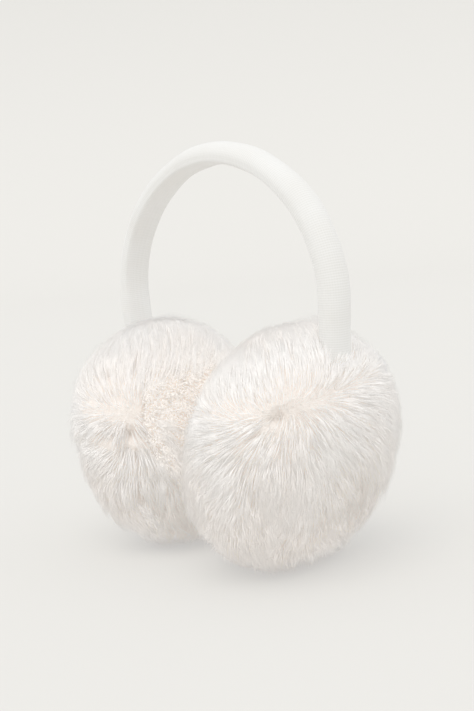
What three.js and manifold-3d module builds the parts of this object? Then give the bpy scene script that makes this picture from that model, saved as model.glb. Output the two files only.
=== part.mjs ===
// Fur earmuffs: a padded, fabric-covered headband whose two legs run down into two fur puffs,
// each with a short-pile plush panel on its ear side. Millimetres.
// X runs from ear to ear (right puff at +X), Y from front to back, Z up.
// The origin is on the floor, midway between the puffs.
import * as THREE from "three";
import { mergeVertices } from "three/addons/utils/BufferGeometryUtils.js";
import Module from "manifold-3d";

const wasm = await Module();
wasm.setup();

// Headband
const BAND_TOP_Z = 187;
const BAND_WIDTH = 15.2;
const BAND_OUTER_DEPTH = 6.4; // crown of the padded outer side, above the widest line of the section
const BAND_INNER_DEPTH = 3.4; // flatter inner side, below the widest line
const BAND_OUTER_POWER = 2.0;
const BAND_INNER_POWER = 3.4;
const SECTION_POINTS = 20;
const ARCH_HALF_WIDTH = 68.7;
const ARCH_RISE = 60.8;
const ARCH_POWER = 1.93; // 2 would be an ellipse
const BAND_SET_BACK = 2.8; // the band meets the puffs this far behind their middle
const ARCH_STEPS = 24;
const LEG_END_Z = 64;
const LEG_TURN_IN = 0.003; // inward curve of a leg, per mm of drop squared
const LEG_STEPS = 6;
const SWEEP_STEPS = 56;

// Fur puffs, as the outer form of the pile
const PUFF_OFFSET = 41.5; // ear-to-ear distance of a puff's centre from the middle
const PUFF_HALF_THICK = 36.5;
const PUFF_HALF_WIDTH = 53;
const PUFF_HALF_HEIGHT = 55.6;
const PUFF_CENTRE_Z = 52.4;
const PUFF_POWER = 2.2; // above 2 gives fuller shoulders than an ellipse
const PUFF_TILT = THREE.MathUtils.degToRad(17.8); // the lower ends lean towards each other
const PUFF_PROFILE_POINTS = 26;
const PUFF_SIDES = 44;

// Ear-side plush panels
const PAD_RADIUS = 35;
const PAD_RIM = 5; // height of the rounded rim
const PAD_DOME = 3.5; // rise of the face from rim to centre
const PAD_SEAT = 24; // distance of the panel's back from the puff's centre
const PAD_RIM_POINTS = 6;
const PAD_DOME_POINTS = 5;
const PAD_SIDES = 44;
const RECESS_LENGTH = 40;

const GAP = 0.3; // kept between neighbouring pieces

const knitCover = new THREE.MeshStandardMaterial({ color: 0xe9e5d9, roughness: 0.85, metalness: 0 });
const longFur = new THREE.MeshStandardMaterial({ color: 0xf1ebe6, roughness: 1, metalness: 0 });
const shortPlush = new THREE.MeshStandardMaterial({ color: 0xf3dfd0, roughness: 1, metalness: 0 });

function toSolid(geometry) {
  const bare = geometry.index ? geometry.toNonIndexed() : geometry.clone();
  bare.deleteAttribute("normal");
  bare.deleteAttribute("uv");
  const merged = mergeVertices(bare, 1e-3);
  return new wasm.Manifold(
    new wasm.Mesh({
      numProp: 3,
      vertProperties: merged.attributes.position.array,
      triVerts: new Uint32Array(merged.index.array),
    }),
  );
}

function toMesh(name, solid, material) {
  const made = solid.getMesh();
  const geometry = new THREE.BufferGeometry();
  geometry.setAttribute("position", new THREE.BufferAttribute(made.vertProperties, made.numProp));
  geometry.setIndex(new THREE.BufferAttribute(made.triVerts, 1));
  geometry.computeVertexNormals();
  const mesh = new THREE.Mesh(geometry, material);
  mesh.name = name;
  return mesh;
}

const signedPower = (value, power) => Math.sign(value) * Math.abs(value) ** power;

// Section of the band: x across the band, y towards the inside of the arch.
function bandSection(grow) {
  const points = [];
  for (let i = 0; i < SECTION_POINTS; i++) {
    const angle = (2 * Math.PI * i) / SECTION_POINTS;
    const inner = Math.sin(angle) > 0;
    const power = 2 / (inner ? BAND_INNER_POWER : BAND_OUTER_POWER);
    const depth = (inner ? BAND_INNER_DEPTH : BAND_OUTER_DEPTH) + grow;
    points.push(
      new THREE.Vector2(
        (BAND_WIDTH / 2 + grow) * signedPower(Math.cos(angle), power),
        depth * signedPower(Math.sin(angle), power),
      ),
    );
  }
  return new THREE.Shape(points);
}

// Line of the section's widest point: one leg up, over the arch, the other leg down.
function bandLine(endDrop) {
  const archZ = BAND_TOP_Z - BAND_OUTER_DEPTH - ARCH_RISE;
  const legDrop = archZ - LEG_END_Z + endDrop;
  const points = [];
  for (let i = 0; i < LEG_STEPS; i++) {
    const drop = legDrop * (1 - i / LEG_STEPS);
    const turnIn = LEG_TURN_IN * drop ** 2;
    points.push(new THREE.Vector3(-ARCH_HALF_WIDTH + turnIn, BAND_SET_BACK, archZ - drop));
  }
  for (let i = 0; i <= ARCH_STEPS / 2; i++) {
    const angle = (Math.PI * i) / ARCH_STEPS;
    const across = ARCH_HALF_WIDTH * signedPower(Math.cos(angle), 2 / ARCH_POWER);
    const rise = ARCH_RISE * signedPower(Math.sin(angle), 2 / ARCH_POWER);
    points.push(new THREE.Vector3(-across, BAND_SET_BACK, archZ + rise));
  }
  const mirrored = points
    .slice(0, -1)
    .reverse()
    .map((p) => new THREE.Vector3(-p.x, p.y, p.z));
  return new THREE.CatmullRomCurve3([...points, ...mirrored]);
}

function bandSolid(grow) {
  return toSolid(
    new THREE.ExtrudeGeometry(bandSection(grow), {
      steps: SWEEP_STEPS,
      bevelEnabled: false,
      extrudePath: bandLine(grow),
    }),
  );
}

// A body of revolution about the puff's own axis, made along +Y by the lathe and laid along +X,
// where +X is the puff's outer side.
function alongAxis(profile, sides) {
  return new THREE.LatheGeometry(profile, sides).rotateZ(-Math.PI / 2);
}

function puffForm() {
  const profile = [];
  for (let i = 0; i <= PUFF_PROFILE_POINTS; i++) {
    const angle = -Math.PI / 2 + (Math.PI * i) / PUFF_PROFILE_POINTS;
    const end = i === 0 || i === PUFF_PROFILE_POINTS;
    profile.push(
      new THREE.Vector2(
        end ? 0 : signedPower(Math.cos(angle), 2 / PUFF_POWER),
        PUFF_HALF_THICK * signedPower(Math.sin(angle), 2 / PUFF_POWER),
      ),
    );
  }
  return alongAxis(profile, PUFF_SIDES).scale(1, PUFF_HALF_WIDTH, PUFF_HALF_HEIGHT);
}

// Flat back, rounded rim and gently domed face; the face looks along -X, to the ear.
function padForm() {
  const profile = [new THREE.Vector2(0, -PAD_SEAT - PAD_RIM - PAD_DOME)];
  for (let i = 1; i <= PAD_DOME_POINTS; i++) {
    const out = i / PAD_DOME_POINTS;
    const rise = PAD_DOME * (1 - out ** 2);
    profile.push(new THREE.Vector2((PAD_RADIUS - PAD_RIM) * out, -PAD_SEAT - PAD_RIM - rise));
  }
  for (let i = 1; i <= PAD_RIM_POINTS; i++) {
    const angle = (Math.PI * i) / (2 * PAD_RIM_POINTS);
    profile.push(
      new THREE.Vector2(
        PAD_RADIUS - PAD_RIM + PAD_RIM * Math.sin(angle),
        -PAD_SEAT - PAD_RIM * Math.cos(angle),
      ),
    );
  }
  profile.push(new THREE.Vector2(0, -PAD_SEAT));
  return alongAxis(profile, PAD_SIDES);
}

function recessForm() {
  const radius = PAD_RADIUS + GAP;
  return alongAxis(
    [
      new THREE.Vector2(0, -PAD_SEAT - RECESS_LENGTH),
      new THREE.Vector2(radius, -PAD_SEAT - RECESS_LENGTH),
      new THREE.Vector2(radius, -PAD_SEAT + GAP),
      new THREE.Vector2(0, -PAD_SEAT + GAP),
    ],
    PAD_SIDES,
  );
}

// Leans the form, then moves it to its place on the right side.
function placed(geometry) {
  return geometry.rotateY(PUFF_TILT).translate(PUFF_OFFSET, 0, PUFF_CENTRE_Z);
}

const band = bandSolid(0);
const legRoom = bandSolid(GAP);
const belowFloor = wasm.Manifold.cube([400, 400, 100], true).translate([0, 0, -50]);

const rightPad = toSolid(placed(padForm()));
const rightPuff = toSolid(placed(puffForm()))
  .subtract(toSolid(placed(recessForm())))
  .subtract(legRoom)
  .subtract(belowFloor);

const acrossMiddle = [1, 0, 0];
const group = new THREE.Group();
group.add(toMesh("headband", band, knitCover));
group.add(toMesh("fur_muff_right", rightPuff, longFur));
group.add(toMesh("fur_muff_left", rightPuff.mirror(acrossMiddle), longFur));
group.add(toMesh("ear_pad_right", rightPad, shortPlush));
group.add(toMesh("ear_pad_left", rightPad.mirror(acrossMiddle), shortPlush));

export default group;
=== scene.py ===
"""Fur earmuffs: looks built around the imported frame. Metres; X ear to ear, Y front to back, Z up."""

import math

import bpy
import numpy as np
from mathutils import Matrix, Vector
from mathutils.kdtree import KDTree


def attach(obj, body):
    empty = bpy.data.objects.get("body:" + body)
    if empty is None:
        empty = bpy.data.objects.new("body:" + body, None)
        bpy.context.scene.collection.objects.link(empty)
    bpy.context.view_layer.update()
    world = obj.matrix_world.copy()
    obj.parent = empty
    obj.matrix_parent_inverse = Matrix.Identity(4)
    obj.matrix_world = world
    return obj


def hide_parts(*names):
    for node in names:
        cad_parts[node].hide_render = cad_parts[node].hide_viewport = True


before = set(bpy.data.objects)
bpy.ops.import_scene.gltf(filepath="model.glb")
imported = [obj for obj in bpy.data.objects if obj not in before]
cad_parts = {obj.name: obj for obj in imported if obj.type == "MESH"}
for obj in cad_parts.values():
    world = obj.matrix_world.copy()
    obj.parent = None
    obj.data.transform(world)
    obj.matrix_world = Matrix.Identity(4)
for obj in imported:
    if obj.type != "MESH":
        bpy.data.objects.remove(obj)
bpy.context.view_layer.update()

MM = 0.001

# ------------------------------------------------------------------ sizes, in millimetres
# The puffs, as in the CAD: a superellipsoid that leans outwards at the top.
PUFF_OFFSET = 41.5
PUFF_CENTRE_Z = 52.4
PUFF_HALF = np.array([36.5, 53.0, 55.6])  # outwards, across, upwards
PUFF_POWER = 2.2
PUFF_TILT = math.radians(17.8)

# The ear panels, as in the CAD.
PAD_RADIUS = 35.0
PAD_RIM = 5.0
PAD_DOME = 3.5
PAD_SEAT = 24.0

# The headband's section and line, as in the CAD.
BAND_TOP_Z = 187.0
BAND_WIDTH = 15.2
BAND_OUTER_DEPTH = 6.4
BAND_INNER_DEPTH = 3.4
BAND_OUTER_POWER = 2.0
BAND_INNER_POWER = 3.4
ARCH_HALF_WIDTH = 68.7
ARCH_RISE = 60.8
ARCH_POWER = 1.93
BAND_SET_BACK = 2.8
LEG_END_Z = 64.0
LEG_TURN_IN = 0.003
ARCH_FOOT_Z = BAND_TOP_Z - BAND_OUTER_DEPTH - ARCH_RISE

SEED = 20

# ------------------------------------------------------------------ camera
CAMERA_AT = Vector((0.3672, -0.3090, 0.1491))
CAMERA_AIM = Vector((0.0027, 0.0054, 0.0901))
CAMERA_ROLL = math.radians(-4.6)
CAMERA_LENS = 53.5


def add_camera():
    data = bpy.data.cameras.new("camera")
    data.sensor_width = 36.0
    data.lens = CAMERA_LENS
    cam = bpy.data.objects.new("camera", data)
    bpy.context.scene.collection.objects.link(cam)
    turn = (CAMERA_AIM - CAMERA_AT).to_track_quat("-Z", "Y").to_matrix().to_4x4()
    cam.matrix_world = Matrix.Translation(CAMERA_AT) @ turn @ Matrix.Rotation(CAMERA_ROLL, 4, "Z")
    bpy.context.scene.camera = cam


# ------------------------------------------------------------------ small helpers
def link(mesh, name, smooth=True):
    obj = bpy.data.objects.new(name, mesh)
    bpy.context.scene.collection.objects.link(obj)
    if smooth:
        mesh.polygons.foreach_set("use_smooth", np.ones(len(mesh.polygons), bool))
    mesh.update()
    return obj


def mesh_from(points, faces, name):
    """A mesh from an N by 3 array in millimetres and an M by 3 or M by 4 array of corners."""
    points = np.asarray(points, float) * MM
    faces = np.asarray(faces, np.int32)
    sides = faces.shape[1]
    mesh = bpy.data.meshes.new(name)
    mesh.vertices.add(len(points))
    mesh.vertices.foreach_set("co", points.astype(np.float32).ravel())
    mesh.loops.add(faces.size)
    mesh.loops.foreach_set("vertex_index", faces.ravel())
    mesh.polygons.add(len(faces))
    mesh.polygons.foreach_set("loop_start", np.arange(len(faces), dtype=np.int32) * sides)
    mesh.update(calc_edges=True)
    mesh.validate()
    return mesh


def unit(v):
    return v / np.maximum(np.linalg.norm(v, axis=-1, keepdims=True), 1e-12)


def signed_power(x, p):
    """x to the power p, with the sign of x."""
    return np.sign(x) * np.abs(x) ** p


def smoothstep(a, b, x):
    """0 at x = a rising smoothly to 1 at x = b; a may be the larger."""
    t = np.clip((x - a) / (b - a), 0, 1)
    return t * t * (3 - 2 * t)


class Noise:
    """Smooth, repeatable 3-D noise from a few random waves."""

    def __init__(self, seed, scale, waves=24):
        rng = np.random.default_rng(seed)
        self.k = unit(rng.normal(size=(waves, 3))) * rng.uniform(0.6, 1.5, (waves, 1)) * 2 * math.pi / scale
        self.phase = rng.uniform(0, 2 * math.pi, waves)

    def __call__(self, p):
        return np.sin(p @ self.k.T + self.phase).sum(1) / math.sqrt(len(self.phase) / 2) / 1.5


# ------------------------------------------------------------------ puff geometry
def to_world(local, side):
    """Local (outwards, across, upwards) in millimetres to the row frame, for side 1 or -1."""
    c, s = math.cos(PUFF_TILT), math.sin(PUFF_TILT)
    x = local[:, 0] * c + local[:, 2] * s
    z = -local[:, 0] * s + local[:, 2] * c
    return np.stack([side * (PUFF_OFFSET + x), local[:, 1], PUFF_CENTRE_Z + z], 1)


def turn_to_world(v, side):
    """A direction in the puff's own frame, turned into the row frame."""
    c, s = math.cos(PUFF_TILT), math.sin(PUFF_TILT)
    return np.stack([side * (v[:, 0] * c + v[:, 2] * s), v[:, 1], -v[:, 0] * s + v[:, 2] * c], 1)


def turn_to_local(v):
    """A direction in the right-hand puff's row frame, turned into the puff's own."""
    c, s = math.cos(PUFF_TILT), math.sin(PUFF_TILT)
    return np.stack([v[:, 0] * c - v[:, 2] * s, v[:, 1], v[:, 0] * s + v[:, 2] * c], 1)


def on_puff(directions, shrink=0.0):
    """Where rays from the puff's centre meet its surface, drawn in by shrink, and the normals there."""
    half = PUFF_HALF - shrink
    q = np.abs(directions) / half
    r = (q**PUFF_POWER).sum(1) ** (-1 / PUFF_POWER)
    p = directions * r[:, None]
    n = unit(signed_power(p / half, PUFF_POWER - 1) / half)
    return p, n


# ------------------------------------------------------------------ strands
FLOOR_CLEAR = 0.35
HEAD_CLEAR = 0.5  # kept by each puff's pile from the middle plane
STRAND_BACK = 0.6  # depth of a strand's back corner, for a half width of 1
STRAND_TAPER = 0.15  # of the width, lost from one ring to the next
CELL_U = [0.15, 0.5, 0.85]  # a ring's corners across a strand's cell of the map
CELL_EDGE = 0.1


def strand_mesh(name, paths, outward, width, tone_and_shade, side):
    """Closed tapered strands of three sides each: a base ring, rings along the way, and a tip.

    paths holds the strands' points from base to tip, each N by 3; outward is the pile's normal at
    each strand, which the strand's flat side faces; width is the half width at the base.
    """
    count, steps = len(paths[0]), len(paths) - 1
    rings = []
    for i, centre in enumerate(paths[:-1]):
        along = unit(paths[i + 1] - paths[max(i - 1, 0)])
        a = unit(np.cross(outward, along))
        b = np.cross(along, a)
        for out in (a, -a, -STRAND_BACK * b):
            rings.append(centre + out * (width * (1 - STRAND_TAPER * i))[:, None])
    points = np.stack([*rings, paths[-1]], 1)
    corners = [(0, 2, 1)]
    for start in range(0, 3 * (steps - 1), 3):
        for i in range(3):
            j = (i + 1) % 3
            corners += [(start + i, start + j, start + j + 3), (start + i, start + j + 3, start + i + 3)]
    last = 3 * (steps - 1)
    corners += [(last + i, last + (i + 1) % 3, last + 3) for i in range(3)]
    corners = np.array(corners)
    if side < 0:
        points = points * [-1.0, 1.0, 1.0]
        corners = corners[:, ::-1]
    points = points.copy()
    points[..., 2] = np.maximum(points[..., 2], FLOOR_CLEAR)
    each = points.shape[1]
    faces = (np.arange(count)[:, None, None] * each + corners[None]).reshape(-1, 3)
    mesh = mesh_from(points.reshape(-1, 3), faces, name)
    levels = np.repeat(np.arange(steps) / steps, 3)
    along = np.tile(np.r_[levels, 1.0].astype(np.float32), count)
    mesh.attributes.new("along", "FLOAT", "POINT").data.foreach_set("value", along)
    # Per hair: lighter or darker at random, and for the long fur with painted light and shade as well.
    tone_and_shade_at_points = np.repeat(tone_and_shade.astype(np.float32), each)
    mesh.attributes.new("tone_and_shade", "FLOAT", "POINT").data.foreach_set("value", tone_and_shade_at_points)
    # One small cell of the map for each strand, from its base up to its tip.
    cells = math.ceil(math.sqrt(count))
    index = np.arange(count)
    left, low = index % cells, index // cells
    u = np.repeat(left[:, None], each, 1) + np.r_[np.tile(CELL_U, steps), 0.5]
    v = np.repeat(low[:, None], each, 1) + CELL_EDGE + (1 - 2 * CELL_EDGE) * np.r_[levels, 1.0]
    spread = np.stack([u.ravel(), v.ravel()], 1)[faces.ravel()] / cells
    mesh.uv_layers.new(name="OFBake").data.foreach_set("uv", spread.astype(np.float32).ravel())
    return link(mesh, name, smooth=False)



PUFFS = {
    # Its side of the head, the crown that the pile is combed from, in the right-hand frame, and
    # the parting's climb for each millimetre towards the back.
    "right": {"side": 1, "crown": (73.0, -27.0, 77.0), "rise": 0.14},
    "left": {"side": -1, "crown": (19.0, -44.0, 71.0), "rise": 0.0},
}
# Hollows in the pile: centre in the right-hand frame, radii along Y and Z, depth.
HOLLOWS = {
    "right": (
        ((79.0, -8.0, 53.0), (5.0, 3.5), 4.5),
        ((77.5, -15.5, 48.0), (6.0, 2.5), 3.5),
        ((79.0, 14.0, 30.0), (22.0, 20.0), 5.0),
        ((62.0, -44.0, 66.0), (2.5, 9.0), 2.5),
        ((70.0, -35.0, 74.0), (4.0, 3.0), 4.0),
    ),
    "left": (
        ((28.0, -48.0, 61.0), (12.0, 2.6), 6.0),
        ((19.0, -44.0, 50.0), (7.0, 3.0), 4.0),
        ((19.0, -42.0, 32.0), (8.0, 4.0), 4.0),
        ((40.0, -50.0, 44.0), (10.0, 3.0), 3.0),
    ),
}


PARTING_SHARP = 1.2
PARTING_FADE = 0.4
PARTING_REACH = 45


def flow(w, n, puff):
    """The pile's combed direction: away from the crown, parting above and below it."""
    q = w - np.array(puff["crown"])
    q[:, 2] -= puff["rise"] * q[:, 1]
    away = np.linalg.norm(q, axis=1)
    # Sharp near the crown, and soft where the parting fades round the back: 1 above, -1 below.
    part = np.tanh(q[:, 2] / (PARTING_SHARP + PARTING_FADE * np.maximum(away - PARTING_REACH, 0)))
    low = smoothstep(0, -50, q[:, 2])
    across = np.where(part > 0, 0.2, 0.2 - part * (0.6 - 0.4 * low))
    rise = part * (np.where(part > 0, 8.0, 4.0) + 0.9 * np.abs(q[:, 2])) - 1.0
    v = np.stack([across * q[:, 0], across * q[:, 1], rise], 1)
    return unit(v - (v * n).sum(1, keepdims=True) * n)


def turned(t, n, angle):
    """Tangents t turned about the normals n."""
    return t * np.cos(angle)[:, None] + np.cross(n, t) * np.sin(angle)[:, None]


def walk(p, t, distance, height):
    """From surface point p along tangent t, hugging the surface, at a height over it."""
    q, n = on_puff(unit(p + t * distance[:, None]))
    return q + n * height[:, None]


CROWN_RADIUS = 10


def from_crown(w, puff):
    """0 at the puff's crown, rising to 1 away from it."""
    return smoothstep(0, CROWN_RADIUS, np.linalg.norm(w - np.array(puff["crown"]), axis=1))


def on_parting(w, puff):
    """1 along the line that the pile parts on, falling to 0 above and below it."""
    q = w - np.array(puff["crown"])
    return np.exp(-(((q[:, 2] - puff["rise"] * q[:, 1]) / PARTING_HALF) ** 2))


HOLLOW_RADIUS_X = 14


def hollow_depth(w, which):
    """How deep the pile's hollows are at w."""
    depth = np.zeros(len(w))
    for centre, radii, deep in HOLLOWS[which]:
        q = w - np.array(centre)
        reach = (q[:, 0] / HOLLOW_RADIUS_X) ** 2 + (q[:, 1] / radii[0]) ** 2 + (q[:, 2] / radii[1]) ** 2
        depth = np.maximum(depth, deep * np.exp(-reach))
    return depth


LEG_HALF_X = 5.0
LEG_MIDDLE = 1.5  # the leg's section is deeper outside its line than inside


def leg_x(z):
    return ARCH_HALF_WIDTH - LEG_TURN_IN * np.maximum(ARCH_FOOT_Z - z, 0) ** 2


def in_leg(w, room):
    """Whether w, in the right-hand frame, is in the headband's leg or within room of it."""
    near_x = np.abs(w[:, 0] - leg_x(w[:, 2]) - LEG_MIDDLE) < LEG_HALF_X + room
    near_y = np.abs(w[:, 1] - BAND_SET_BACK) < BAND_WIDTH / 2 + room
    return near_x & near_y & (w[:, 2] > LEG_END_Z)


PARTING_HALF = 6.5
FRINGE_Z = 17.0  # the long fur hangs over the ear panel above this, in the puff's own frame
LOCKS = 2600
# The pile's two kinds of hair: how many a puff has, length, heights of the base, the bend and
# the tip over the CAD's surface, half widths, and how much shorter it is, and so how upright, on
# the parting.
HAIRS = {
    "guard": {
        "count": 18800,
        "long": 23.0,
        "heights": (-8.0, -1.9, 0.2),
        "half": (0.12, 0.21),
        "stands": 0.2,
    },
    "down": {
        "count": 42000,
        "long": 15.0,
        "heights": (-6.5, -0.6),
        "half": (0.13, 0.22),
        "stands": 0.85,
    },
}
BEND_AT = 0.42  # of a guard hair's length
CROWN_SHORT = 0.6  # of a hair's length, at the crown
LUMP = 1.1
PULL = 0.28  # how far a lock gathers its hairs
LEG_ROOM = 0.4
COLLAR = 4.2  # how much higher the pile stands round the headband's foot
LEG_FOOT = np.array([70.0, -1.0, 97.0])
COLLAR_RADIUS = 11.0
SHORTER = 0.62  # a hair that would run into the headband is cut to this, over and over
CUTS = 5


def nearest(points, targets):
    """For each point, which of the targets is nearest."""
    tree = KDTree(len(targets))
    for i, t in enumerate(targets):
        tree.insert(t, i)
    tree.balance()
    return np.array([tree.find(p)[1] for p in points])


TRIES = 3  # directions drawn for each one kept
PANEL_SIDE_X = -18  # the ear panel lies beyond this, in the puff's own frame
PANEL_CLEAR = 5  # how far the long fur's roots reach in over the panel's edge


def even_on_puff(count, rng):
    """Directions whose surface points are spread evenly by area, off the ear panel."""
    d = unit(rng.normal(size=(count * TRIES, 3)))
    p, n = on_puff(d)
    # Area of the surface for each unit of direction.
    weight = (p**2).sum(1) / np.abs((unit(p) * n).sum(1))
    d = d[rng.random(len(d)) < weight / weight.max()]
    p, n = on_puff(d)
    off_panel = (p[:, 0] > PANEL_SIDE_X) | (np.hypot(p[:, 1], p[:, 2]) > PAD_RADIUS - PANEL_CLEAR)
    off_panel |= p[:, 2] > FRINGE_Z + 3 * Noise(SEED + 3, 14)(p)
    return d[off_panel][:count]


def lay(hair, p, t, long, lump, lift, depth):
    """Hairs from surface points p along tangents t, as their points from base to tip."""
    last = len(hair["heights"]) - 1
    path = []
    for i, height in enumerate(hair["heights"]):
        part = i / last
        run = long * (BEND_AT if 0 < part < 1 else part)
        path.append(walk(p, t, run, height + part * (lump + lift) - (0.5 + 0.7 * part) * depth))
    return path


def length_left(w, puff):
    """Of a hair's length, what the crown leaves."""
    return CROWN_SHORT + (1 - CROWN_SHORT) * from_crown(w, puff)


def long_fur(which):
    """The long pile of one puff, a mesh for each kind of hair."""
    puff = PUFFS[which]
    side = puff["side"]
    rng = np.random.default_rng(SEED + (side > 0))
    ruffle = Noise(SEED + 5, 34)
    lumps = Noise(SEED + 7, 26)

    def combed(points, normals, extra):
        world = to_world(points, 1)
        nw = turn_to_world(normals, 1)
        t = flow(world, nw, puff)
        calm = 1 - 0.7 * smoothstep(72, 88, world[:, 2]) + 0.5 * smoothstep(66, 30, world[:, 2])
        return turn_to_local(turned(t, nw, (extra + 0.28 * ruffle(world)) * calm))

    lock_p, lock_n = on_puff(even_on_puff(LOCKS, rng))
    locks = len(lock_p)
    lock_turn = rng.normal(0, 0.16, locks)
    lock_long = rng.uniform(0.75, 1.3, locks)
    lock_lift = rng.normal(0.1, 0.36, locks)
    lock_tone = rng.random(locks)
    lock_t = combed(lock_p, lock_n, lock_turn)
    lock_w = to_world(lock_p, 1)
    lock_lump = LUMP * lumps(lock_w)
    lock_depth = hollow_depth(lock_w, which)

    made = []
    for kind, hair in HAIRS.items():
        p, n = on_puff(even_on_puff(hair["count"], rng))
        w = to_world(p, 1)
        mine = nearest(p, lock_p)
        count = len(p)
        t = combed(p, n, lock_turn[mine] + rng.normal(0, 0.10, count))
        depth = hollow_depth(w, which)
        lump = LUMP * lumps(w)
        high, low = smoothstep(72, 88, w[:, 2]), smoothstep(66, 25, w[:, 2])
        wild = rng.random(count) < 0.03
        lift = lock_lift[mine] * (1 - 0.8 * high + low) + rng.normal(0, 0.2, count) * (1 - 0.6 * high)
        lift += COLLAR * np.exp(-(((w - LEG_FOOT) ** 2).sum(1)) / COLLAR_RADIUS**2)
        lift += wild * rng.uniform(0.5, 2.2, count) * (1 - 0.6 * high)
        long = (hair["long"] - 0.6 * depth) * lock_long[mine] * rng.uniform(0.75, 1.2, count)
        long *= length_left(w, puff) * (1 - 0.4 * low)
        long *= 1 - hair["stands"] * on_parting(w, puff)
        half = rng.uniform(*hair["half"], count)
        # Painted light and shade, laid over each hair's random lightness: lighter and evener at the top, as
        # painted light where the key falls, and painted shade in the hollows, low down and in the wedge
        # between the puffs.
        tone_and_shade = 0.5 * lock_tone[mine] + 0.5 * rng.random(count)
        tone_and_shade += (0.75 - tone_and_shade) * 0.6 * high
        # Painted shade in the shadowed wedge low down between the two puffs.
        between = smoothstep(24, 9, w[:, 0]) * smoothstep(62, 22, w[:, 2])
        tone_and_shade = np.clip(tone_and_shade - 0.17 * depth - 0.1 * low - 0.55 * between, 0, 1)

        lock_run = hair["long"] * lock_long * length_left(lock_w, puff)
        laid_locks = lay(hair, lock_p, lock_t, lock_run, lock_lump, lock_lift, lock_depth)
        for _ in range(CUTS):
            paths = lay(hair, p, t, long, lump, lift, depth)
            pull = PULL * (1 - 0.9 * high + 0.5 * low) * ~wild * np.minimum(long / hair["long"], 1)
            pull = pull[:, None]
            for i in range(1, len(paths)):
                part = i / (len(paths) - 1)
                paths[i] = paths[i] + (laid_locks[i][mine] - paths[i]) * pull * part**1.5
            paths = [to_world(x, 1) for x in paths]
            hits = in_leg(paths[-1], LEG_ROOM) | in_leg((paths[-1] + paths[-2]) / 2, LEG_ROOM)
            long = np.where(hits, SHORTER * long, long)
        for path in paths:
            path[:, 0] = np.maximum(path[:, 0], HEAD_CLEAR)
        keep = ~hits & (paths[-1][:, 2] > 0.2)
        outward = turn_to_world(on_puff(unit(p + 0.5 * t * long[:, None]))[1], 1)
        paths = [path[keep] for path in paths]
        made.append(strand_mesh(f"fur_{which}_{kind}", paths, outward[keep], half[keep], tone_and_shade[keep], side))
    return made


# ------------------------------------------------------------------ undercoat
def ball_directions(cells):
    """Directions and quads of a cube's faces, each cut into cells by cells, as one closed ball."""
    steps = np.tan(np.linspace(-math.pi / 4, math.pi / 4, cells + 1))
    u, v = np.meshgrid(steps, steps, indexing="ij")
    points, faces = [], []
    for axis in range(3):
        for sign in (-1, 1):
            p = np.empty((cells + 1, cells + 1, 3))
            p[..., axis] = sign
            p[..., (axis + 1) % 3] = u * sign
            p[..., (axis + 2) % 3] = v
            start = sum(len(x) for x in points)
            points.append(p.reshape(-1, 3))
            i = np.arange(cells * (cells + 1)).reshape(cells, cells + 1)[:, :-1].ravel() + start
            faces.append(np.stack([i, i + cells + 1, i + cells + 2, i + 1], 1))
    points, faces = np.concatenate(points), np.concatenate(faces)
    keys = np.round(points, 6)
    _, first, back = np.unique(keys, axis=0, return_index=True, return_inverse=True)
    return unit(points[first]), back.ravel()[faces]


COAT_CELLS = 44
COAT_HEIGHT = -4.6  # of the undercoat, over the CAD's surface
COAT_UNDER_PANEL = 4.0


def undercoat(which):
    """The dense short pile under the hairs, as one closed knobbly ball."""
    side = PUFFS[which]["side"]
    d, faces = ball_directions(COAT_CELLS)
    p, n = on_puff(d)
    w = to_world(p, 1)
    fine, broad = Noise(SEED + 11, 5, 40), Noise(SEED + 7, 26)
    height = COAT_HEIGHT + 0.6 * fine(w) + 0.7 * broad(w) - 0.9 * hollow_depth(w, which)
    on_panel = smoothstep(PAD_RADIUS + 3, PAD_RADIUS - 4, np.hypot(p[:, 1], p[:, 2])) * (p[:, 0] < 0)
    height -= COAT_UNDER_PANEL * on_panel
    points = to_world(p + n * height[:, None], 1)
    points[:, 2] = np.maximum(points[:, 2], FLOOR_CLEAR)
    points *= [side, 1, 1]
    if side < 0:
        faces = faces[:, ::-1]
    name = f"undercoat_{which}"
    return link(mesh_from(points, faces, name), name)


# ------------------------------------------------------------------ ear panels
def pad_height(r):
    """How far the panel's face stands out, towards the ear, from the puff's centre."""
    flat = PAD_RADIUS - PAD_RIM
    dome = PAD_SEAT + PAD_RIM + PAD_DOME * (1 - np.minimum(r / flat, 1) ** 2)
    rim = PAD_SEAT + np.sqrt(np.maximum(PAD_RIM**2 - np.maximum(r - flat, 0) ** 2, 0))
    return np.where(r <= flat, dome, rim)


PANEL_RINGS = 26
PANEL_SPOKES = 96
PANEL_DEEP = 1.0  # the panel's cloth lies this far under the CAD pad's face
PANEL_CENTRE_DEEP = 1.6  # its middle point is drawn in a little more
PANEL_NARROW = 0.6


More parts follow.
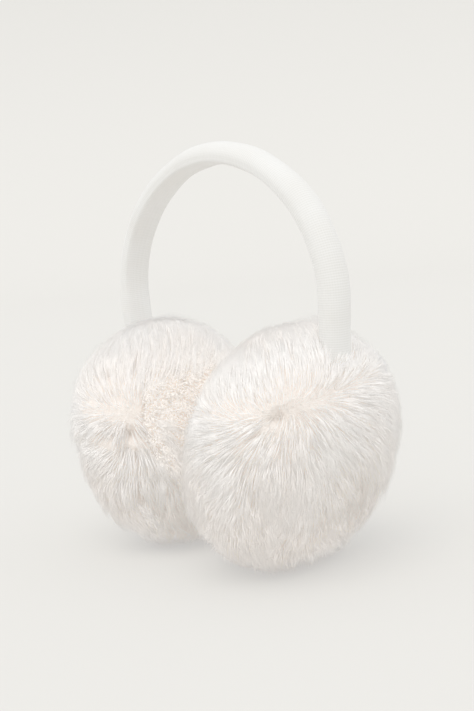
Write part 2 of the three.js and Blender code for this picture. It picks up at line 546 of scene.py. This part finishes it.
def panel_base(which):
    """The ear panel's domed cloth, which the tufts stand on."""
    side = PUFFS[which]["side"]
    noise = Noise(SEED + 13, 8)
    radii = (PAD_RADIUS - PANEL_NARROW) * np.sin(np.linspace(0, math.pi / 2, PANEL_RINGS + 1))[1:]
    angles = np.arange(PANEL_SPOKES) * 2 * math.pi / PANEL_SPOKES
    r, a = np.meshgrid(radii, angles, indexing="ij")
    face = np.stack([-(pad_height(r) - PANEL_DEEP), r * np.cos(a), r * np.sin(a)], -1).reshape(-1, 3)
    face[:, 0] += 0.5 * noise(face)
    back_x = -PAD_SEAT + 1.0
    back_r = 0.97 * radii[-1]
    back = np.stack([np.full(PANEL_SPOKES, back_x), back_r * np.cos(angles), back_r * np.sin(angles)], 1)
    centres = np.array([[-(pad_height(np.array(0.0)) - PANEL_CENTRE_DEEP), 0, 0], [back_x, 0, 0]])
    points = np.concatenate([face, back, centres])
    front, rear = len(points) - 2, len(points) - 1
    last = PANEL_RINGS * PANEL_SPOKES
    tris = []
    for k in range(PANEL_SPOKES):
        j = (k + 1) % PANEL_SPOKES
        tris.append((front, k, j))
        tris.append((rear, last + j, last + k))
    for start in range(0, last, PANEL_SPOKES):
        for k in range(PANEL_SPOKES):
            j = (k + 1) % PANEL_SPOKES
            tris.append((start + k, start + PANEL_SPOKES + k, start + PANEL_SPOKES + j))
            tris.append((start + k, start + PANEL_SPOKES + j, start + j))
    faces = np.array(tris)
    if side > 0:
        faces = faces[:, ::-1]
    world = to_world(points, side)
    world[:, 2] = np.maximum(world[:, 2], FLOOR_CLEAR)
    name = f"ear_panel_{which}"
    return link(mesh_from(world, faces, name), name)


TUFTS = 6500
TUFT_ROOT = 1.8  # depth of a tuft's foot under the CAD pad's face


def plush(which):
    """Short curly tufts over the ear panel."""
    side = PUFFS[which]["side"]
    rng = np.random.default_rng(SEED + 40 + (side > 0))
    r = (PAD_RADIUS + 0.5) * np.sqrt(rng.random(TUFTS))
    a = rng.uniform(0, 2 * math.pi, TUFTS)
    clump = Noise(SEED + 17, 6, 30)
    foot_x = -(pad_height(np.minimum(r, PAD_RADIUS - 1)) - TUFT_ROOT)
    foot = np.stack([foot_x, r * np.cos(a), r * np.sin(a)], 1)
    out = unit(np.stack([np.full(TUFTS, -1.0), 0.012 * foot[:, 1], 0.012 * foot[:, 2]], 1))
    lean = unit(rng.normal(size=(TUFTS, 3)))
    lean -= (lean * out).sum(1, keepdims=True) * out
    drift = np.stack([np.zeros(TUFTS), 0.35 * clump(foot), -0.5 + 0.3 * clump(foot + 40)], 1)
    high = rng.uniform(2.2, 3.6, TUFTS) + 0.5 * clump(foot + 9)
    reach = rng.uniform(0.5, 1.4, (TUFTS, 1))
    middle = foot + out * (0.62 * high)[:, None] + (lean * 1.3 + drift) * reach
    curl = turned(unit(lean), out, rng.uniform(1.0, 2.2, TUFTS))
    reach = rng.uniform(0.6, 1.2, (TUFTS, 1))
    tip = foot + out * high[:, None] + (lean * 1.2 + curl * 1.6 + drift * 2.2) * reach
    paths = [to_world(x, 1) for x in (foot, middle, tip)]
    for path in paths:
        path[:, 0] = np.maximum(path[:, 0], HEAD_CLEAR)
    half = rng.uniform(0.24, 0.38, TUFTS)
    tone_and_shade = rng.random(TUFTS)
    return strand_mesh(f"plush_{which}", paths, turn_to_world(out, 1), half, tone_and_shade, side)


# ------------------------------------------------------------------ headband
RIB_PITCH = 0.98
RINGS_PER_RIB = 3
RIB_HEIGHT = 0.045
SECTION_POINTS = 36
SEAM_DEPTH = 0.45
SEAM_HALF = 0.055  # of the turn round the section


LINE_SMOOTHING = 30
SECTION_GIRTH = 38.0
SOFTNESS = 0.18  # how far the padding is uneven


def band_line():
    """The headband's line in the XZ plane, as even steps, with their distances and the ribs."""
    drop = np.linspace(ARCH_FOOT_Z - LEG_END_Z, 0, 300)[:-1]
    leg = np.stack([-ARCH_HALF_WIDTH + LEG_TURN_IN * drop**2, ARCH_FOOT_Z - drop], 1)
    angle = np.linspace(0, math.pi / 2, 900)
    arch_x = -ARCH_HALF_WIDTH * signed_power(np.cos(angle), 2 / ARCH_POWER)
    arch_z = ARCH_FOOT_Z + ARCH_RISE * signed_power(np.sin(angle), 2 / ARCH_POWER)
    half = np.concatenate([leg, np.stack([arch_x, arch_z], 1)])
    line = np.concatenate([half, (half * [-1, 1])[::-1][1:]])
    step = np.r_[0, np.cumsum(np.linalg.norm(np.diff(line, axis=0), axis=1))]
    ribs = round(step[-1] / RIB_PITCH)
    s = np.linspace(0, step[-1], ribs * RINGS_PER_RIB + 1)
    x, z = np.interp(s, step, line[:, 0]), np.interp(s, step, line[:, 1])
    for _ in range(LINE_SMOOTHING):
        x[1:-1] = (x[:-2] + 2 * x[1:-1] + x[2:]) / 4
        z[1:-1] = (z[:-2] + 2 * z[1:-1] + z[2:]) / 4
    return np.stack([x, z], 1), s, ribs


def band_points(line, s, ribs, turn):
    """The cover's points, for each step along the line and each turn round the section."""
    tangent = unit(np.gradient(line, axis=0))
    inward = np.stack([tangent[:, 1], -tangent[:, 0]], 1)
    angle = 2 * math.pi * turn
    inner = np.sin(angle) > 0
    power = np.where(inner, 2 / BAND_INNER_POWER, 2 / BAND_OUTER_POWER)
    depth = np.where(inner, BAND_INNER_DEPTH, BAND_OUTER_DEPTH)
    across = BAND_WIDTH / 2 * np.sign(np.cos(angle)) * np.abs(np.cos(angle)) ** power
    inwards = depth * np.sign(np.sin(angle)) * np.abs(np.sin(angle)) ** power
    out = unit(np.stack([np.cos(angle) / BAND_WIDTH * 2, np.sin(angle) / depth], 1))
    rib = RIB_HEIGHT * np.cos(2 * math.pi * s / s[-1] * ribs)
    # A seam runs along each edge.
    to_seam = np.minimum(np.abs((turn + 0.5) % 1 - 0.5 - 0.02), np.abs(turn - 0.48))
    seam = -SEAM_DEPTH * np.exp(-((to_seam / (SEAM_HALF / 3)) ** 2))
    soft = Noise(SEED + 23, 30)
    points = np.empty((len(s), SECTION_POINTS, 3))
    for k in range(SECTION_POINTS):
        place = np.stack(
            [
                line[:, 0] + inward[:, 0] * inwards[k],
                np.full(len(s), BAND_SET_BACK + across[k]),
                line[:, 1] + inward[:, 1] * inwards[k],
            ],
            1,
        )
        push = rib * (1.0 if not inner[k] else 0.6) + seam[k] + SOFTNESS * soft(place)
        place[:, 0] += inward[:, 0] * out[k, 1] * push
        place[:, 2] += inward[:, 1] * out[k, 1] * push
        place[:, 1] += out[k, 0] * push
        points[:, k] = place
    return points


def headband():
    """The knitted cover, with its ribs and edge seams, and a map in millimetres of cloth."""
    line, s, ribs = band_line()
    turn = np.arange(SECTION_POINTS) / SECTION_POINTS
    points = band_points(line, s, ribs, turn)
    rows = len(s)
    i, k = np.meshgrid(np.arange(rows - 1), np.arange(SECTION_POINTS), indexing="ij")
    j = (k + 1) % SECTION_POINTS
    row, above = i * SECTION_POINTS, (i + 1) * SECTION_POINTS
    quads = np.stack([row + k, row + j, above + j, above + k], -1).reshape(-1, 4)
    flat = np.concatenate([points.reshape(-1, 3), points[[0, -1]].mean(1)])
    first, last = len(flat) - 2, len(flat) - 1
    end = (rows - 1) * SECTION_POINTS
    caps = []
    for k in range(SECTION_POINTS):
        j = (k + 1) % SECTION_POINTS
        caps.append((first, j, k))
        caps.append((last, end + k, end + j))
    tris = np.concatenate([quads[:, [0, 1, 2]], quads[:, [0, 2, 3]], caps])
    mesh = mesh_from(flat, tris, "headband_cover")
    corner_row = np.concatenate([np.repeat(s, SECTION_POINTS), [0, s[-1]]])[tris]
    corner_turn = np.concatenate([np.tile(turn, rows), [0.5, 0.5]])[tris]
    wrap = (corner_turn.max(1) - corner_turn.min(1)) > 0.5
    corner_turn[wrap] = np.where(corner_turn[wrap] < 0.5, corner_turn[wrap] + 1, corner_turn[wrap])
    uv = np.stack([corner_row, corner_turn * SECTION_GIRTH], -1).reshape(-1, 2)
    mesh.uv_layers.new(name="cloth_mm").data.foreach_set("uv", uv.astype(np.float32).ravel())
    return link(mesh, "headband_cover")


# ------------------------------------------------------------------ materials
def new_material(name):
    """A material with one Principled shader, its node tree and that shader."""
    mat = bpy.data.materials.new(name)
    mat.use_nodes = True
    nodes = mat.node_tree.nodes
    nodes.clear()
    shader = nodes.new("ShaderNodeBsdfPrincipled")
    out = nodes.new("ShaderNodeOutputMaterial")
    mat.node_tree.links.new(shader.outputs["BSDF"], out.inputs["Surface"])
    return mat, mat.node_tree, shader


def add(tree, kind, **sets):
    """A node with its inputs, or else its own settings, set by name."""
    node = tree.nodes.new(kind)
    for key, value in sets.items():
        if key in node.inputs:
            node.inputs[key].default_value = value
        else:
            setattr(node, key, value)
    return node


def ramp(tree, source, stops):
    node = tree.nodes.new("ShaderNodeValToRGB")
    elements = node.color_ramp.elements
    while len(elements) < len(stops):
        elements.new(0.5)
    for element, (at, colour) in zip(elements, stops):
        element.position = at
        element.color = (*colour, 1)
    tree.links.new(source, node.inputs["Fac"])
    return node.outputs["Color"]


def mixed(tree, fac, a, b, blend="MIX"):
    node = tree.nodes.new("ShaderNodeMix")
    node.data_type = "RGBA"
    node.blend_type = blend
    for socket, value in ((node.inputs[0], fac), (node.inputs[6], a), (node.inputs[7], b)):
        if isinstance(value, bpy.types.NodeSocket):
            tree.links.new(value, socket)
        elif isinstance(value, tuple):
            socket.default_value = (*value, 1)
        else:
            socket.default_value = value
    return node.outputs[2]


def noise(tree, scale, detail=3.0):
    where = tree.nodes.new("ShaderNodeTexCoord")
    node = add(tree, "ShaderNodeTexNoise", Scale=scale, Detail=detail)
    tree.links.new(where.outputs["Object"], node.inputs["Vector"])
    return node.outputs["Fac"]


def attribute(tree, name):
    node = tree.nodes.new("ShaderNodeAttribute")
    node.attribute_name = name
    return node.outputs["Fac"]


def grey(value):
    return (value,) * 3


def glow(shader, colour, strength):
    shader.inputs["Emission Color"].default_value = (*colour, 1)
    shader.inputs["Emission Strength"].default_value = strength


# Light that has scattered through the pile or the yarn, as a little light of its own.
PILE_GLOW = 0.185
TUFT_GLOW = 0.31
YARN_GLOW = 0.12
COAT_SHARE = 0.4  # of the pile's, in the undercoat
ROOT_SHARE = 0.7
TIP_SHARE = 1.05


def fur_material(name, colours, patch_scale, light):
    """Hair from root to tip, with broad warmer patches, each hair lighter or darker at random and with
    painted light and shade laid over that.
    """
    mat, tree, shader = new_material(name)
    stops = ((0.0, colours["root"]), (0.45, colours["middle"]), (1.0, colours["tip"]))
    along = ramp(tree, attribute(tree, "along"), stops)
    patches = ramp(tree, noise(tree, patch_scale, 2.0), ((0.42, grey(0)), (0.68, grey(1))))
    warm = mixed(tree, patches, along, mixed(tree, 0.55, along, colours["patch"]))
    # The dark end of this ramp gives both the hairs' random darkening and the painted shade in the pile.
    stops = ((0.0, (0.85, 0.82, 0.78)), (0.28, (0.985, 0.975, 0.965)), (1.0, grey(1)))
    tone_and_shade = ramp(tree, attribute(tree, "tone_and_shade"), stops)
    tree.links.new(mixed(tree, 1.0, warm, tone_and_shade, "MULTIPLY"), shader.inputs["Base Color"])
    rough = ramp(tree, noise(tree, 900.0, 2.0), ((0.3, grey(0.62)), (0.7, grey(0.85))))
    tree.links.new(rough, shader.inputs["Roughness"])
    shader.inputs["Specular IOR Level"].default_value = 0.1
    glow(shader, (1.0, 0.965, 0.925), light)
    stops = ((0.0, grey(light * ROOT_SHARE)), (0.8, grey(light * TIP_SHARE)))
    tree.links.new(ramp(tree, attribute(tree, "along"), stops), shader.inputs["Emission Strength"])
    return mat


def undercoat_material(name, low, high):
    mat, tree, shader = new_material(name)
    colour = ramp(tree, noise(tree, 700.0, 4.0), ((0.3, low), (0.7, high)))
    tree.links.new(colour, shader.inputs["Base Color"])
    bump = add(tree, "ShaderNodeBump", Strength=0.8, Distance=0.001)
    tree.links.new(noise(tree, 1400.0, 4.0), bump.inputs["Height"])
    tree.links.new(bump.outputs["Normal"], shader.inputs["Normal"])
    rough = ramp(tree, noise(tree, 500.0), ((0.3, grey(0.85)), (0.7, grey(1.0))))
    tree.links.new(rough, shader.inputs["Roughness"])
    shader.inputs["Specular IOR Level"].default_value = 0.1
    glow(shader, (1.0, 0.95, 0.90), COAT_SHARE * PILE_GLOW)
    return mat


STITCH_PITCH = 0.95


def knit_material():
    """Ribbed knit: the ribs follow the cover's own, with stitches across them and painted shade in their
    valleys.
    """
    mat, tree, shader = new_material("knit_cover")
    uv = add(tree, "ShaderNodeUVMap", uv_map="cloth_mm")
    split = tree.nodes.new("ShaderNodeSeparateXYZ")
    tree.links.new(uv.outputs["UV"], split.inputs["Vector"])

    def wave(source, pitch):
        turn = add(tree, "ShaderNodeMath", operation="MULTIPLY")
        turn.inputs[1].default_value = 2 * math.pi / pitch
        tree.links.new(source, turn.inputs[0])
        cosine = add(tree, "ShaderNodeMath", operation="COSINE")
        tree.links.new(turn.outputs[0], cosine.inputs[0])
        half = add(tree, "ShaderNodeMath", operation="MULTIPLY_ADD")
        half.inputs[1].default_value = 0.5
        half.inputs[2].default_value = 0.5
        tree.links.new(cosine.outputs[0], half.inputs[0])
        return half.outputs[0]

    _, s, ribs = band_line()
    rib = wave(split.outputs["X"], s[-1] / ribs)
    stitch = wave(split.outputs["Y"], STITCH_PITCH)
    both = add(tree, "ShaderNodeMath", operation="MULTIPLY_ADD")
    both.inputs[1].default_value = 0.35
    tree.links.new(stitch, both.inputs[0])
    tree.links.new(rib, both.inputs[2])
    fuzz = noise(tree, 2600.0, 3.0)
    height = add(tree, "ShaderNodeMath", operation="MULTIPLY_ADD")
    height.inputs[1].default_value = 0.5
    tree.links.new(fuzz, height.inputs[0])
    tree.links.new(both.outputs[0], height.inputs[2])
    bump = add(tree, "ShaderNodeBump", Strength=0.22, Distance=0.0003)
    tree.links.new(height.outputs[0], bump.inputs["Height"])
    tree.links.new(bump.outputs["Normal"], shader.inputs["Normal"])
    # Painted shade: the knit is darker in the valleys between its ribs and stitches.
    stops = ((0.0, (0.61, 0.60, 0.57)), (0.5, (0.655, 0.645, 0.62)), (1.0, (0.68, 0.67, 0.65)))
    yarn_with_groove_shade = ramp(tree, both.outputs[0], stops)
    broad = ramp(tree, noise(tree, 60.0, 3.0), ((0.3, (0.965, 0.955, 0.94)), (0.7, grey(1))))
    tree.links.new(mixed(tree, 1.0, yarn_with_groove_shade, broad, "MULTIPLY"), shader.inputs["Base Color"])
    rough = ramp(tree, fuzz, ((0.3, grey(0.78)), (0.7, grey(0.95))))
    tree.links.new(rough, shader.inputs["Roughness"])
    shader.inputs["Specular IOR Level"].default_value = 0.2
    glow(shader, (1.0, 0.99, 0.965), YARN_GLOW)
    shader.inputs["Sheen Weight"].default_value = 0.35
    shader.inputs["Sheen Roughness"].default_value = 0.5
    return mat


# ------------------------------------------------------------------ stage
# In metres: half the sweep's width, where it starts, where it curves up, how it curves, its top.
STAGE_HALF_WIDTH = 30.0
STAGE_START = -40.0
STAGE_FLAT = 2.2
STAGE_RADIUS = 1.2
STAGE_TOP = 4.0
STAGE_STEPS = 24
STAGE_GLOW = 0.30


def add_stage():
    """A seamless floor that curves up into a backdrop behind the object, seen from the camera."""
    profile = [(STAGE_START, 0.0), (STAGE_FLAT, 0.0)]
    for k in range(1, STAGE_STEPS + 1):
        a = k / STAGE_STEPS * math.pi / 2
        y = STAGE_FLAT + STAGE_RADIUS * math.sin(a)
        profile.append((y, STAGE_RADIUS * (1 - math.cos(a))))
    profile.append((STAGE_FLAT + STAGE_RADIUS, STAGE_TOP))
    verts, faces = [], []
    for y, z in profile:
        verts += [(-STAGE_HALF_WIDTH, y, z), (STAGE_HALF_WIDTH, y, z)]
    for i in range(len(profile) - 1):
        faces.append((2 * i, 2 * i + 1, 2 * i + 3, 2 * i + 2))
    mesh = bpy.data.meshes.new("floor")
    mesh.from_pydata(verts, [], faces)
    floor = link(mesh, "floor")
    look = (CAMERA_AIM - CAMERA_AT).normalized()
    floor.rotation_euler = (0, 0, math.atan2(look.y, look.x) - math.pi / 2)
    mat, tree, shader = new_material("floor")
    shader.inputs["Base Color"].default_value = (0.445, 0.423, 0.384, 1)
    # As a white sweep lit from behind, so that the shadows stay pale.
    glow(shader, (0.95, 0.975, 1.0), STAGE_GLOW)
    shader.inputs["Roughness"].default_value = 0.9
    shader.inputs["Specular IOR Level"].default_value = 0.1
    mesh.materials.append(mat)


SKY_COLOUR = (0.955, 0.98, 1.0, 1)
SKY_STRENGTH = 1.05
SUN_COLOUR = (1.0, 0.975, 0.93)
SUN_ENERGY = 0.9
SUN_ANGLE = math.radians(50)
SUN_WAY = Vector((-0.22, 0.46, -0.86))
VIEW_GAMMA = 1.25  # the photo's tones are washed out


def add_light():
    """Even light all round, and a broad soft key from above and in front."""
    world = bpy.data.worlds.new("studio")
    bpy.context.scene.world = world
    world.use_nodes = True
    sky = world.node_tree.nodes["Background"]
    sky.inputs["Color"].default_value = SKY_COLOUR
    sky.inputs["Strength"].default_value = SKY_STRENGTH
    sun = bpy.data.lights.new("key", "SUN")
    sun.energy = SUN_ENERGY
    sun.angle = SUN_ANGLE
    sun.color = SUN_COLOUR
    lamp = bpy.data.objects.new("key", sun)
    bpy.context.scene.collection.objects.link(lamp)
    lamp.rotation_mode = "QUATERNION"
    lamp.rotation_quaternion = SUN_WAY.to_track_quat("-Z", "Y")
    view = bpy.context.scene.view_settings
    view.view_transform = "Standard"
    view.look = "None"
    view.gamma = VIEW_GAMMA


# ------------------------------------------------------------------ build
add_camera()
add_stage()
add_light()

LONG_FUR = {
    "root": (0.95, 0.88, 0.82),
    "middle": (0.96, 0.935, 0.915),
    "tip": (0.97, 0.955, 0.945),
    "patch": (0.96, 0.89, 0.84),
}
SHORT_PLUSH = {
    "root": (0.95, 0.86, 0.78),
    "middle": (0.97, 0.91, 0.855),
    "tip": (0.98, 0.95, 0.92),
    "patch": (0.97, 0.90, 0.84),
}
fur = fur_material("long_fur", LONG_FUR, 22.0, PILE_GLOW)
plush_mat = fur_material("short_plush", SHORT_PLUSH, 60.0, TUFT_GLOW)
under = undercoat_material("undercoat", (0.84, 0.75, 0.68), (0.90, 0.83, 0.77))
knit = knit_material()


def dress(piece, material):
    """Give a piece its material and slot, and let it ride on the only body."""
    piece.data.materials.clear()
    piece.data.materials.append(material)
    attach(piece, "root")


cover = headband()
dress(cover, knit)
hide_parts("headband")

for which in PUFFS:
    core = undercoat(which)
    dress(core, under)
    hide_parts(f"fur_muff_{which}")
    panel = panel_base(which)
    dress(panel, under)
    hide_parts(f"ear_pad_{which}")
    dress(plush(which), plush_mat)
    for piece in long_fur(which):
        dress(piece, fur)
